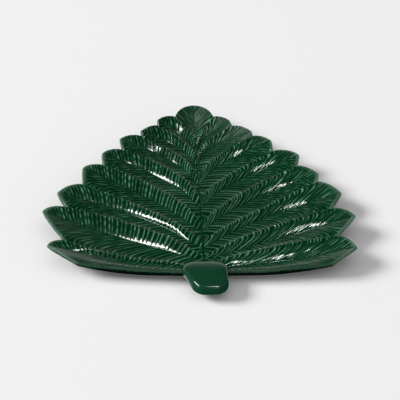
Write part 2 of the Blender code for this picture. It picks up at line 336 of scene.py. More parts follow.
    def heading(self, number: int, side: Side, share: Grid) -> Grid:
        """Unit steps along a midrib, from the slope of its curve.

        Args:
            number: Number of the bough.
            side: Its row.
            share: Share of the way from the stem to the tip.

        Returns:
            Directions as complex numbers of length 1.
        """
        start, bend, end = self.rib_line(number, side)
        slope = (1.0 - share) * (bend - start) + share * (end - bend)
        return slope / np.abs(slope)

    def notch(self, number: int, side: Side) -> complex:
        """Point of the outline where a bough meets the next one down, or the corner of the front lip."""
        size = self.size(number, side)
        tip = complex(side.value * size.reach, size.climb)
        return tip - size.setback * self.along(number, side) + size.drop * self.across(number, side)

    def crest(self, number: int, side: Side, share: Grid) -> Grid:
        """Plan points on the line between a bough and the next one down.

        The line is a quadratic curve, which climbs beside the stem first and then turns out to the notch.
        Below the last bough it is the front lip, which leaves the trunk square to the stem.

        Args:
            number: Number of the bough above the line.
            side: Its row.
            share: Share of the way from the stem to the outline.

        Returns:
            Plan points.
        """
        end = self.notch(number, side)
        if number == self.front_bough:
            start = complex(side.value * self.stem_half(self.front), self.front)
            bend = complex(self.lip_bend * end.real, self.front)
        else:
            base = self.crest_roots[number]
            start = complex(side.value * self.stem_half(base), base)
            bend = self.drawn_out(start, end, self.size(number, side).crest_bow, side)
        return quadratic(start, bend, end, share)

    def half_plan(self, number: int, side: Side, flank: Flank, share: Grid, width: Grid) -> Grid:
        """Plan points of half of a bough.

        A point lies between the midrib and the crest at the same share. Near the outline it moves out, by
        the cube of the share: to an elliptic arc from the tip to the notch above it, and to a straighter
        edge from the tip to the notch below it.

        Args:
            number: Number of the bough.
            side: Its row, or for the top bough its half.
            flank: The half.
            share: Share of the way from the stem to the outline.
            width: Share of the way from the midrib to the crest.

        Returns:
            Plan points, one for each pair of shares.
        """
        line = number - 1 if flank is Flank.UPPER and number > 0 else number
        along = self.along(number, side)
        across = self.across(number, side)
        chord = (self.notch(line, side) - self.midrib(number, side, 1.0)) * along.conjugate()
        square = (across * along.conjugate()).imag
        if flank is Flank.LOWER and number > 0:
            back = width**self.below_bend - width
            out = 0.0 * width
        else:
            back = (1.0 - np.cos(width * self.tip_arc)) / (1.0 - math.cos(self.tip_arc)) - width
            out = np.sin(width * self.tip_arc) / math.sin(self.tip_arc) - width
        bulge = back * chord.real * along + out * chord.imag * square * across
        rib = self.midrib(number, side, share)
        return rib + width * (self.crest(line, side, share) - rib) + share**self.arc_ease * bulge

    def seat(self, number: int, flank: Flank, share: Grid, width: Grid) -> Grid:
        """Height of the dish's upper face, which the boughs lie on.

        The well is flat. From well_reach on it climbs by the square of what is left, to tip_rise at the tips
        and less in the notches. The front boughs climb again to the lip, by the cube of the width.

        Args:
            number: Number of the bough.
            flank: Half of the bough.
            share: Share of the way from the stem to the outline.
            width: Share of the way from the midrib to the crest.

        Returns:
            Heights above the table.
        """
        climb = np.maximum(0.0, (share - self.well_reach) / (1.0 - self.well_reach)) ** 2
        height = self.well_seat + climb * (self.tip_rise - self.notch_sink * width**2)
        return height + self.lip(number, flank, share, width)

    def lip(self, number: int, flank: Flank, share: Grid, width: Grid) -> Grid | float:
        """Extra rise towards the front lip, which fades out at the corner.

        Args:
            number: Number of the bough.
            flank: Half of the bough.
            share: Share of the way from the stem to the outline.
            width: Share of the way from the midrib to the lip.

        Returns:
            The rise, which is 0 on all other boughs.
        """
        if number != self.front_bough or flank is Flank.UPPER:
            return 0.0
        fade = 1.0 - ease((share - self.lip_fade) / (1.0 - self.lip_fade))
        return self.lip_rise * fade * width**self.lip_ease


@dataclass(frozen=True)
class NeedleLie:
    """How the needles of one kind of flank lie, a pitch apart along the midrib.

    On its way out to the crest a needle also travels along the midrib, by a share of the flank's room:
    stem_lean beside the stem, and tip_lean at the tip. With a bend above 1 it makes most of that way near
    the midrib, and then turns square to it. Its relief is a share of the distance to the next needle, at the
    midrib and at the crest. The pale line along it, partly glaze running thin and partly painted highlight,
    has a strength, its end sticks out past the crest in proportion to reach, and end_glint is how bright the
    painted glint on each end is at least.
    """

    pitch: float
    stem_lean: float
    tip_lean: float
    bend: float
    root_relief: float
    end_relief: float
    line: float
    reach: float = 0.0
    end_glint: float = 0.0

    def lean(self, share: Grid) -> Grid:
        """Travel along the midrib up to the crest, as a share of the room."""
        return self.stem_lean + share * (self.tip_lean - self.stem_lean)

    def travel(self, share: Grid, width: Grid) -> Grid:
        """Travel along the midrib up to a width: the lean times 1 − (1 − width)^bend."""
        return self.lean(share) * (1.0 - (1.0 - width) ** self.bend)

    def slant(self, share: Grid, width: Grid | float) -> Grid:
        """Slope of a needle, along the midrib for each step out: the derivative of the travel."""
        return self.lean(share) * self.bend * np.maximum(1.0 - width, LEAST_WAY) ** (self.bend - 1.0)

    def relief(self, share: Grid, width: Grid) -> Grid:
        """Height of a needle: a share of the pitch, measured square to the needle."""
        part = self.root_relief + width**2 * (self.end_relief - self.root_relief)
        return part * self.pitch / np.sqrt(1.0 + self.slant(share, width) ** 2)


@dataclass(frozen=True)
class NeedleCarving:
    """Needles along both flanks of a bough. The right row's lie closer to their midribs."""

    upper_left: NeedleLie = NeedleLie(5.4 * MM, -0.35, 1.6, 1.05, 0.012, 0.085, 0.60, 3.6 * MM, 0.3)
    upper_right: NeedleLie = NeedleLie(10.0 * MM, 1.6, 2.3, 2.2, 0.05, 0.07, 0.60, 2.4 * MM, 0.7)
    crown_right: NeedleLie = NeedleLie(6.0 * MM, 1.3, 2.0, 2.0, 0.30, 0.30, 0.62, 2.0 * MM, 0.3)
    lower: NeedleLie = NeedleLie(6.0 * MM, 0.9, 1.8, 1.5, 0.045, 0.04, 0.34)
    top: NeedleLie = NeedleLie(4.4 * MM, 0.9, 1.6, 1.5, 0.24, 0.24, 0.66)
    crown_boughs: int = 2
    crowding: float = 0.22
    root_clear: float = 1.2 * MM
    fullness: float = 2.0
    line_width: float = 0.095
    split_pitch: float = 8.0 * MM
    splitting: Span = Span(0.25, 0.4)
    split_relief: float = 0.8
    split_line: float = 0.6
    dash_count: float = 2.3
    dash_swing: float = 0.9
    dash_depth: float = 0.3
    tip_dash_depth: float = 0.5
    tip_dashes: Span = Span(0.4, 0.25)
    vigour_least: float = 0.45
    vigour_range: float = 0.9
    waver: float = 0.12
    quick_waver: float = 0.6
    slow_rate: float = 2.3
    quick_rate: float = 5.1
    drift: float = 4.0
    seed_shifts: tuple[float, float, float] = (7.0, 9.0, 4.0)

    def lie(self, number: int, side: Side, flank: Flank) -> NeedleLie:
        """Pick the lie of the needles on one flank.

        Args:
            number: Number of the bough.
            side: Its row.
            flank: The half.

        Returns:
            The lie.
        """
        if number == 0:
            return self.top
        if flank is Flank.LOWER:
            return self.lower
        if side is Side.LEFT:
            return self.upper_left
        return self.crown_right if number <= self.crown_boughs else self.upper_right

    def phase(self, way: Grid, share: Grid, seed: float) -> Grid:
        """Count needles along the midrib, with a slow and a quick waver.

        Args:
            way: Where the needle left the midrib, in pitches.
            share: Share of the way from the stem to the outline.
            seed: A value that differs from one flank to the next.

        Returns:
            The needle's number, with the place across it as the fraction.
        """
        start, slow_start, quick_start = (shift * seed for shift in self.seed_shifts)
        even = way + start
        slow = np.sin(self.slow_rate * even + slow_start)
        quick = np.sin(self.quick_rate * even + quick_start + self.drift * share)
        return even + self.waver * slow + self.quick_waver * self.waver * quick

    def rounded(self, place: Grid) -> Grid:
        """Rounded height across a needle: 1 − |2f − 1|^fullness at a place f from 0 to 1."""
        return 1.0 - np.abs(2.0 * place - 1.0) ** self.fullness

    def carve(self, lie: NeedleLie, way: Grid, share: Grid, width: Grid, seed: float) -> tuple[Grid, ...]:
        """Work out the needles of one flank. Widely spaced ones fork in two, and their lines are dashed.

        Args:
            lie: How they lie.
            way: Where the needle at each place left the midrib, in pitches.
            share: Share of the way from the stem to the outline.
            width: Share of the way from the midrib to the crest.
            seed: A value that differs from one flank to the next.

        Returns:
            Each needle's number, the rounded section across it, the pale line along its middle, which is
            partly glaze running thin and partly painted highlight, its own strength, and how far it has
            forked.
        """
        phase = self.phase(way, share, seed)
        number = np.floor(phase)
        place = phase - number
        split = self.splitting.at(width) if lie.pitch > self.split_pitch else 0.0 * width
        section = self.rounded(place)
        forked = self.rounded(np.mod(2.0 * phase + 0.5, 1.0))
        section = section + split * (self.split_relief * forked - section)
        thickness = self.line_width / (1.0 + split)
        pale = np.exp(-(((place - 0.5) / thickness) ** 2))
        second = np.exp(-(((np.mod(phase + 0.5, 1.0) - 0.5) / thickness) ** 2))
        pale = pale + self.split_line * split * second
        turns = self.dash_count * width + scatter(number, seed + DASH_LOT)
        dashes = ease(0.5 + self.dash_swing * np.sin(2.0 * math.pi * turns))
        depth = self.dash_depth + self.tip_dash_depth * self.tip_dashes.at(share)
        pale = pale * (1.0 - depth * (1.0 - dashes))
        vigour = self.vigour_least + self.vigour_range * scatter(number, seed)
        return number, section, pale, vigour, split


@dataclass
class Bough(Piece):
    """One bough: needles on both sides of a sunk midrib, with its upper edge lapped over the bough above.

    The spans run along the bough or across it, and each says where a form or a trait eases in.
    """

    plan: TreePlan
    carving: NeedleCarving
    number: int
    side: Side
    node: str
    rib_thickness: float = 2.2 * MM
    crest_thickness: float = 4.6 * MM
    tuck_thickness: float = 3.4 * MM
    edge_thickness: float = 2.4 * MM
    left_ease: tuple[float, ...] = (1.2, 1.2, 1.25, 2.6, 1.25, 2.6, 2.6, 1.5)
    right_ease: tuple[float, ...] = (1.0, 1.0, 2.0, 3.0, 3.0, 2.8, 3.2, 3.4)
    tuck_ease: float = 5.0
    swelling: Span = Span(0.0, 0.3)
    thinning: Span = Span(0.7, 0.3)
    needles_begin: Span = Span(0.0, 0.02)
    near_rim: Span = Span(0.86, 0.14)
    rim_calm: float = 0.5
    lip_smooth: Span = Span(0.55, 0.35)
    ends_across: Span = Span(0.6, 0.4)
    ends_along: Span = Span(0.0, 0.15)
    least_end: float = 0.2
    rim_trim: float = 0.7
    lap_low: float = 2.4 * MM
    lap_round: float = 2.4 * MM
    lap_share: float = 0.35
    lap_least: float = 0.1 * MM
    tuck: float = 1.0 * MM
    tuck_across: Span = Span(0.8, 0.2)
    tuck_end: Span = Span(0.9, 0.1)
    stem_cover: float = 0.9
    beside_stem: Span = Span(0.0, 0.10)
    glints_across: Span = Span(0.58, 0.14)
    glints_along: Span = Span(0.0, 0.2)
    pooling_and_shade: float = 0.45
    pale_rim_and_sheen: Span = Span(0.965, 0.03)
    lip_edge: Span = Span(0.93, 0.05)
    lip_edge_pale_and_sheen: float = 0.4
    crown_dry: Span = Span(0.3, 0.25)
    lip_dry: Span = Span(0.4, 0.3)
    rim_round: float = 2.0 * MM
    rim_rows: int = 8
    step: float = 0.42 * MM
    rib_samples: int = 60
    half_columns: int = 50
    column_power: float = 1.5
    under_columns: int = 15
    under_rows: int = 12
    under_setback: float = 0.5
    bury: float = 0.8 * MM
    crease: float = 75.0
    slot = "bough_glaze"

    def row(self, flank: Flank) -> Side:
        """The row that a flank belongs to: the top bough has one flank in each."""
        if self.number > 0:
            return self.side
        return Side.RIGHT if flank is Flank.UPPER else Side.LEFT

    def seed(self, flank: Flank) -> float:
        """A value that differs from one flank to the next, so that no two are carved alike."""
        step = NUMBER_SEED * self.number + flank.value + SIDE_SEED * self.row(flank).value
        return float(np.mod(step, 1.0))

    def shares(self) -> Grid:
        """Places along the bough: even steps, then a quarter turn over the rounded rim."""
        line = self.plan.midrib(self.number, self.side, np.linspace(0.0, 1.0, self.rib_samples))
        length = float(np.abs(np.diff(line)).sum())
        flat_end = 1.0 - self.rim_round / length
        flat = np.linspace(0.0, flat_end, int(length / self.step))
        turn = np.sin(np.linspace(0.0, 0.5 * math.pi, self.rim_rows + 1)[1:])
        return np.concatenate([flat, flat_end + (1.0 - flat_end) * turn])

    def widths(self) -> Grid:
        """Places from the midrib to the crest, closer together towards the crest."""
        return 1.0 - (1.0 - np.linspace(0.0, 1.0, self.half_columns)) ** self.column_power

    def swell(self, lapped: bool, width: Grid) -> Grid:
        """Share of the thickness gained from the midrib to the crest.

        A lapped flank rises beside the midrib, with a steepness set for each bough. Any other flank rises
        late, near its crest.

        Args:
            lapped: Whether the flank's needles lap over the next bough up the tree.
            width: Share of the way from the midrib to the crest.

        Returns:
            Shares from 0 to 1.
        """
        if not lapped:
            return width**self.tuck_ease
        steepness = self.left_ease if self.side is Side.LEFT else self.right_ease
        return 1.0 - (1.0 - width) ** steepness[self.number - 1]

    def half(self, flank: Flank) -> dict[str, Grid]:
        """Work out one flank.

        The height is the seat, plus a thickness that swells to the crest, plus the needles. At a lapped
        crest the needles' ends stick out in their own direction and round down by a quarter of an ellipse,
        as the rim does.

        Args:
            flank: The half to work out.

        Returns:
            Plan points, heights and traits, with a row for each share and a column for each width.
        """
        plan, cut = self.plan, self.carving
        side = self.row(flank)
        lapped = self.number > 0 and flank is Flank.UPPER
        at_lip = self.number == plan.front_bough and flank is Flank.LOWER
        share = self.shares()[:, None]
        width = self.widths()[None, :]
        point = plan.half_plan(self.number, side, flank, share, width)
        rib = plan.midrib(self.number, side, share)
        run = np.concatenate([[[0.0]], np.cumsum(np.abs(np.diff(rib, axis=0)), axis=0)])
        line = self.number - 1 if lapped else self.number
        room = np.abs(plan.crest(line, side, share) - rib)
        out = width * room
        rim = self.near_rim.at(share)

        lie = cut.lie(self.number, side, flank)
        way = (run * (1.0 + cut.crowding * share) - room * lie.travel(share, width)) / lie.pitch
        seed = self.seed(flank)
        needle, section, pale, vigour, split = cut.carve(lie, way, share, width, seed)
        begun = self.needles_begin.at(share)
        grown = ease(out / cut.root_clear) * begun
        if at_lip:
            grown = grown * (1.0 - self.lip_smooth.at(width))
        relief = lie.relief(share, width) * (1.0 - self.rim_calm * rim) / (1.0 + split)

        high = self.crest_thickness if lapped else self.tuck_thickness
        swell = self.swell(lapped, width) * self.swelling.at(share)
        body = self.rib_thickness + swell * (high - self.rib_thickness)
        body = body + self.thinning.at(share) * (self.edge_thickness - body)
        seat = plan.seat(self.number, flank, share, width)
        top = seat + body + vigour * relief * grown * section

        to_crest = room - out
        heading = plan.heading(self.number, side, share)
        if lapped:
            ahead = lie.slant(share, 1.0)
            way_out = heading * (ahead + 1j * side.value) / np.sqrt(1.0 + ahead**2)
            end = lie.reach * section * (self.least_end + scatter(needle, seed + END_LOT))
            end = end * self.ends_across.at(width) * self.ends_along.at(share)
            point = point + end * way_out * (1.0 - self.rim_trim * rim)
            reach = np.minimum(self.lap_round, self.lap_share * room + self.lap_least)
            lap = 1.0 - np.clip(to_crest / reach, 0.0, 1.0)
            low = seat + np.minimum(self.lap_low, body)
            top = low + (top - low) * np.sqrt(1.0 - lap**2)
        elif at_lip:
            lap = 1.0 - np.clip(to_crest / self.rim_round, 0.0, 1.0)
            top = seat + (top - seat) * np.sqrt(1.0 - lap**2)
        else:
            tucked = self.tuck_across.at(width) * (1.0 - self.tuck_end.at(share))
            point = point - 1j * side.value * self.tuck * tucked * heading
        turn = share[-self.rim_rows - 1]
        over = np.clip((share - turn) / (1.0 - turn), 0.0, 1.0)
        top = seat + (top - seat) * np.sqrt(np.maximum(0.0, 1.0 - over**2))
        if self.number > 0:
            cover = self.stem_cover * plan.stem_half(point.imag) * (1.0 - self.beside_stem.at(share))
            point = point - side.value * cover

        # Pale line along each needle: partly glaze running thin, partly painted highlight.
        thin_glaze_and_highlight = lie.line * pale * grown * vigour
        if lapped:
            # Painted glints on the needle ends along the crest.
            glint = lie.end_glint + (1.0 - lie.end_glint) * scatter(needle, seed + GLINT_LOT) ** 2
            ends = pale * self.glints_across.at(width) * self.glints_along.at(share) * (1.0 - rim)
            thin_glaze_and_highlight = np.maximum(thin_glaze_and_highlight, ends * glint)
        crown = self.number == 0 or (self.number <= cut.crown_boughs and side is Side.RIGHT)
        dry = self.crown_dry.at(share) if crown else 0.0
        # Paler rims, and a paler line along the lip's top edge: partly glaze breaking thin, partly painted
        # highlight.
        bare = self.pale_rim_and_sheen.at(share)
        if at_lip:
            dry = self.lip_dry.at(width)
            bare = np.maximum(bare, self.lip_edge_pale_and_sheen * self.lip_edge.at(width))
        # Darker in the needle grooves: partly pooled glaze, partly painted shade.
        groove = self.pooling_and_shade * (1.0 - section) * begun
        grid = {"plan": point, "top": top, "seat": seat}
        grid |= {"thin_glaze_and_highlight": thin_glaze_and_highlight, "groove": groove, "rim": bare, "dry": dry}
        return {key: np.broadcast_to(values, point.shape) for key, values in grid.items()}

    def build(self) -> Object:
        """Join the two flanks at the midrib, and close the bough with a coarse underside sunk into the dish.

        Returns:
            The bough's mesh object.
        """
        upper, lower = self.half(Flank.UPPER), self.half(Flank.LOWER)
        grid = {key: np.concatenate([upper[key][:, ::-1], lower[key][:, 1:]], axis=1) for key in upper}
        rows, columns = grid["plan"].shape
        picks = np.unique(np.linspace(0, columns - 1, self.under_columns).round().astype(int))
        below_plan = grid["plan"][:, picks].copy()
        below_plan[-1] += self.under_setback * (below_plan[-self.under_rows] - below_plan[-1])
        below = lift(below_plan, grid["seat"][:, picks] - self.bury)
        points = np.concatenate([lift(grid["plan"], grid["top"]), below])
        start = rows * columns
        count = len(picks)
        faces = quads(rows, columns) + quads(rows, count, start)
        upper_rows = np.arange(rows) * columns
        lower_rows = start + np.arange(rows) * count
        sides = ((upper_rows, lower_rows), (upper_rows + columns - 1, lower_rows + count - 1))
        for above, under in sides:
            faces += np.stack([above[:-1], above[1:], under[1:], under[:-1]], axis=-1).tolist()
        for row in (0, rows - 1):
            end = list(range(row * columns, (row + 1) * columns))
            end += list(range(start + (row + 1) * count - 1, start + row * count - 1, -1))
            faces.append(end)
        bottom = np.zeros(len(below))
        traits = {key: np.concatenate([grid[key].ravel(), bottom]) for key in TRAITS}
        return closed_piece(self.node + "_needles", points, faces, self.crease, traits)


@dataclass
class Dish(Piece):
    """The pressed dish under the boughs: its rim, front lip and underside show."""

    plan: TreePlan
    wall: float = 3.6 * MM
    rim_wall: float = 2.4 * MM
    rim_inset: float = 0.022
    lip_overhang: float = 6.5 * MM
    columns: int = 56
    column_power: float = 0.9
    half_rows: int = 14
    wall_rows: int = 9
    roundness: float = 0.75
    pooling_and_shade: float = 0.8
    rim_fade: float = 9.0
    crease: float = 50.0
    node = "base_dish"
    slot = "dish_glaze"

    def halves(self) -> list[tuple[int, Side, Flank, bool]]:
        """List the half boughs from the right of the front lip round the tree to its left.

        Returns:
            Number, side and flank of each, and whether it runs from its crest to its midrib.
        """
        front = self.plan.front_bough
        order: list[tuple[int, Side, Flank, bool]] = []
        for number in range(front, 0, -1):
            order += [(number, Side.RIGHT, Flank.LOWER, True), (number, Side.RIGHT, Flank.UPPER, False)]
        order += [(0, Side.RIGHT, Flank.UPPER, True), (0, Side.LEFT, Flank.LOWER, False)]
        for number in range(1, front + 1):
            order += [(number, Side.LEFT, Flank.UPPER, True), (number, Side.LEFT, Flank.LOWER, False)]
        return order

    def sheet(self, inset: float) -> tuple[Grid, Grid, Grid]:
        """Lay one sheet over all the half boughs, from the middle plane to the outline.

        Args:
            inset: Share of each bough by which the sheet ends short of the outline.

        Returns:
            Plan points, heights of the upper face, and the wall's thickness with the lip's rise added.
        """
        plan = self.plan
        share = (np.linspace(0.0, 1.0, self.columns) ** self.column_power * (1.0 - inset))[:, None]
        spans = np.linspace(0.0, 1.0, self.half_rows)
        points, heights, walls = [], [], []
        for number, side, flank, inwards in self.halves():
            width = (spans[::-1] if inwards else spans)[None, :]
            point = plan.half_plan(number, side, flank, share, width)
            height = plan.seat(number, flank, share, width)
            thin = ease((share - plan.well_reach) / (1.0 - plan.well_reach)) * (self.wall - self.rim_wall)
            wall = self.wall - thin + plan.lip(number, flank, share, width)
            if inset > 0.0 and number == plan.front_bough and flank is Flank.LOWER:
                point = point + 1j * self.lip_overhang * (1.0 - share**2) * width
            first = np.where(number == 0, plan.stem_top, point[:1].imag) * 1j
            points.append(np.concatenate([first, point]))
            for values, block in ((height, heights), (wall, walls)):
                whole = np.broadcast_to(values, point.shape)
                block.append(np.concatenate([values[:1] + 0.0 * width, whole]))
        return tuple(np.concatenate(block, axis=1) for block in (points, heights, walls))

    def build(self) -> Object:
        """Join an upper and a lower sheet round the outline by a wall with a rounded section.

        The section is a quadratic curve. It drops straight down from the upper edge, and its corner point is
        held between the chord and the square corner.

        Returns:
            The dish's mesh object.
        """
        upper, high, _ = self.sheet(0.0)
        lower, seat, wall = self.sheet(self.rim_inset)
        rows, columns = upper.shape
        top = lift(upper, high)
        under = lift(lower, seat - wall)
        number = np.arange(rows * columns).reshape(rows, columns)
        border = np.concatenate([number[:, 0], number[-1, 1:], number[-2::-1, -1]])
        start, end = top[border], under[border]
        corner = np.stack([start[:, 0], start[:, 1], end[:, 2]], axis=-1)
        corner = 0.5 * (start + end) + self.roundness * (corner - 0.5 * (start + end))
        way = np.linspace(0.0, 1.0, self.wall_rows)
        ring = quadratic(start, corner, end, way[:, None, None])
        points = np.concatenate([top, under, ring.reshape(-1, 3)])
        count = rows * columns
        faces = quads(rows, columns) + quads(rows, columns, count)
        faces += quads(self.wall_rows, len(border), 2 * count)
        traits = {key: np.zeros(len(points)) for key in TRAITS}
        # Painted shade: the whole dish, wall and lip face too, is darkened as if its glaze had pooled.
        traits["groove"] += self.pooling_and_shade
        # Paler band along the top of the wall: partly glaze breaking thin at the rim, partly painted
        # highlight on the lip.
        traits["rim"][2 * count :] = (1.0 - self.rim_fade * np.repeat(way, len(border))).clip(0.0)
        return closed_piece("base_dish_shell", points, faces, self.crease, traits)


@dataclass
class Stem(Piece):
    """The slender stem, which shows as a dark line between the two rows of boughs."""

    plan: TreePlan
    thickness: float = 2.1 * MM
    sink: float = 0.25 * MM
    joint: float = 0.0003
    grain: float = 0.12 * MM
    grain_rate: float = 2600.0
    grain_skew: float = 3.0
    rows: int = 240
    columns: int = 17
    crease: float = 60.0
    node = "stem"
    slot = "bough_glaze"

    def build(self) -> Object:
        """Carry a shallow trough along the stem: its height falls by the cosine of the way across.

        Returns:
            The stem's mesh object.
        """
        plan = self.plan
        y = np.linspace(plan.trunk_back + self.joint, plan.stem_top, self.rows)[:, None]
        across = np.linspace(-1.0, 1.0, self.columns)[None, :]
        point = across * plan.stem_half(y) + 1j * y
        trough = np.cos(0.5 * math.pi * across)
        grain = self.grain * np.sin(self.grain_rate * y + self.grain_skew * across) * trough
        top = plan.well_seat + self.thickness - self.sink * trough + grain
        points = np.concatenate([lift(point, top), lift(point, plan.well_seat + self.joint + 0.0 * top)])
        count = self.rows * self.columns
        number = np.arange(count).reshape(self.rows, self.columns)
        border = np.concatenate([number[0], number[1:, -1], number[-1, -2::-1], number[-2:0:-1, 0]])
        following = np.roll(border, -1)
        faces = quads(self.rows, self.columns) + quads(self.rows, self.columns, count)
        faces += np.stack([border, following, following + count, border + count], axis=-1).tolist()
        traits = {key: np.zeros(len(points)) for key in TRAITS}
        return closed_piece("stem_valley", points, faces, self.crease, traits)


def wrapped_outline(corners: list[complex], radius: Grid, steps: int) -> Grid:
    """Outlines that wrap circles round a set of corners.

    In each direction, a point is the furthest corner plus the radius, so each row is an exact offset of the
    others.

    Args:
        corners: Centres of the rounded corners.
        radius: One radius for each row.
        steps: Number of directions.

    Returns:
        Plan points, with a row for each radius.
    """
    angle = np.linspace(0.0, 2.0 * math.pi, steps, endpoint=False)
    way = np.exp(1j * angle)
    centres = np.array(corners)
    furthest = centres[np.argmax((centres[:, None] * way.conj()[None, :]).real, axis=0)]
    return furthest[None, :] + np.asarray(radius)[:, None] * way[None, :]


@dataclass
class Trunk(Piece):
    """The smooth lug at the front, which is the tree's trunk and the platter's handle."""

    back: float = -0.1222
    front: float = -0.1695
    back_width: float = 0.046
    front_width: float = 0.038
    lean: float = 0.004
    corner: float = 0.013
    underside: float = 0.0074
    top: float = 0.0184
    top_line: float = -0.146
    back_fall: float = 3.0 * MM
    front_fall: float = 1.6 * MM
    fall_start: float = 0.2
    front_bow: float = 1.6 * MM
    edge_power: float = 14.0
    steps: int = 220
    rings: int = 44
    crease: float = 80.0
    node = "trunk_handle"
    slot = "trunk_glaze"

    def corners(self) -> list[complex]:
        """Centres of the trunk's rounded corners in plan."""
        found = []
        for side in Side:
            back = side.value * (0.5 * self.back_width - self.corner)
            found.append(complex(back, self.back - self.corner))
            front = side.value * (0.5 * self.front_width - self.corner) + self.lean
            found.append(complex(front, self.front + self.corner))
        return found

    def build(self) -> Object:
        """Shrink the outline to its middle by shares, once for the underside and once for the top.

        At a share s of the outline the trunk is as thick as the root of 1 − s^edge_power, so it is nearly
        flat and turns over at its rim. The front bows out, by the square of the way across. The top is
        highest along top_line. From there it falls by the square of the way to the back, and to the front by
        a hyperbola, which is an even slope with a rounded start.

        Returns:
            The trunk's mesh object.
        """
        share = 1.0 - (1.0 - np.linspace(0.0, 1.0, self.rings)[:, None]) ** 2
        outline = wrapped_outline(self.corners(), np.array([self.corner]), self.steps)
        middle = np.mean(self.corners())
        ahead = np.maximum(0.0, (middle.imag - outline.imag) / (middle.imag - self.front))
        aside = (outline.real - self.lean) / (0.5 * self.front_width)
        outline = outline + 1j * self.front_bow * (ahead * aside) ** 2
        ring = middle + share * (outline - middle)
        to_back = np.maximum(0.0, (ring.imag - self.top_line) / (self.back - self.top_line))
        to_front = np.maximum(0.0, (self.top_line - ring.imag) / (self.top_line - self.front))
        start, end = self.fall_start, math.hypot(self.fall_start, 1.0)
        slope = (np.hypot(to_front, start) - start) / (end - start)
        top = self.top - self.back_fall * to_back**2 - self.front_fall * slope
        half = 0.5 * (top - self.underside)
        bulge = half * np.sqrt(1.0 - share**self.edge_power)
        below = lift(ring, self.underside + half - bulge)
        above = lift(ring, self.underside + half + bulge)
        points = np.concatenate([below, above.reshape(self.rings, -1)[::-1].reshape(-1, 3)])
        faces = quads(2 * self.rings, self.steps, ring=True)
        traits = {key: np.zeros(len(points)) for key in TRAITS}
        return closed_piece("trunk_handle_lug", points, faces, self.crease, traits)


@dataclass
class FootRing(Piece):
    """The foot: a wall of bare stoneware in a rounded triangle under the well."""

    plan: TreePlan
    reach: float = 0.38
    corner: float = 0.022
    wall: float = 6.0 * MM
    height: float = 4.0 * MM
    edge_round: float = 1.4 * MM
    edge_rows: int = 7
    fillet: float = 1.0 * MM
    bury: float = 0.4 * MM
    steps: int = 360
    crease: float = 60.0
    node = "foot_ring"
    slot = "bare_stoneware"

    def build(self) -> Object:
        """Carry a closed section round a rounded triangle.

        The section's lower edges are quarter circles, its sides are straight, and it spreads at the top,
        where it joins the dish.

        Returns:
            The ring's mesh object.
        """
        number = self.plan.front_bough - 1
        corners = [self.plan.midrib(number, side, self.reach) for side in Side] + [1j * self.plan.roots[1]]
        turn = np.linspace(0.0, 0.5 * math.pi, self.edge_rows)
        half = 0.5 * self.wall
        out = np.concatenate([half - self.edge_round * (1.0 - np.sin(turn)), [half, half + self.fillet]])
        upper = [self.height - self.fillet, self.height + self.bury]
        up = np.concatenate([self.edge_round * (1.0 - np.cos(turn)), upper])
        offset = np.concatenate([out, -out[::-1]])
        level = np.concatenate([up, up[::-1]])
        ring = wrapped_outline(corners, self.corner + offset, self.steps)
        points = lift(ring, level[:, None] + 0.0 * ring.real)
        rows = len(offset)
        grid = np.arange(rows * self.steps).reshape(rows, self.steps)
        faces = quads(rows, self.steps, ring=True)
        last, first = grid[-1], grid[0]
        faces += np.stack([last, first, np.roll(first, -1), np.roll(last, -1)], axis=-1).tolist()
        return closed_piece("foot_ring_bare", points, faces, self.crease)


def linear(colour: str) -> tuple[float, float, float, float]:
    """Turn an sRGB hex value into a linear colour.

    Args:
        colour: Six hex digits.

    Returns:
        Red, green, blue and an alpha of 1.
    """
    values = [int(colour[place : place + 2], 16) / 255.0 for place in (0, 2, 4)]
    red, green, blue = (v / 12.92 if v <= 0.04045 else ((v + 0.055) / 1.055) ** 2.4 for v in values)
    return red, green, blue, 1.0


def feed(tree: NodeTree, node: Node, inputs: dict[Any, Any]) -> None:
    """Link each input that is given an output socket, and set the others to their values.

    Args:
        tree: The node tree.
        node: The node to feed.
        inputs: A value or an output socket for each input, by its name or number.
    """
    for key, value in inputs.items():
        if isinstance(value, NodeSocket):
            tree.links.new(value, node.inputs[key])
        else:
            node.inputs[key].default_value = value


def add_node(tree: NodeTree, kind: str, inputs: dict[Any, Any] | None = None, **settings: Any) -> Node:
    """Add a node with its settings, and set or link its inputs.

    Args:
        tree: The node tree.
        kind: Blender's name for the kind of node.
        inputs: A value or an output socket for each input, by its name or number.
        settings: Attributes of the node.

    Returns:
        The new node.
    """
    node = tree.nodes.new(kind)
    for name, value in settings.items():
        setattr(node, name, value)
    feed(tree, node, inputs or {})
    return node


def add_noise(tree: NodeTree, size_mm: float, detail: float) -> NodeSocket:
    """Add noise over the object, with spots of about a size in millimetres."""
    place = add_node(tree, "ShaderNodeTexCoord").outputs["Object"]
    inputs = {"Vector": place, "Scale": 1.0 / (size_mm * MM), "Detail": detail}
    return add_node(tree, "ShaderNodeTexNoise", inputs).outputs["Fac"]


def add_blend(tree: NodeTree, factor: Any, first: Any, second: str) -> NodeSocket:
    """Blend from a colour, given as a hex value or a socket, to a second one, given as a hex value."""
    inputs = {0: factor, 6: linear(first) if isinstance(first, str) else first, 7: linear(second)}
    return add_node(tree, "ShaderNodeMix", inputs, data_type="RGBA").outputs[2]


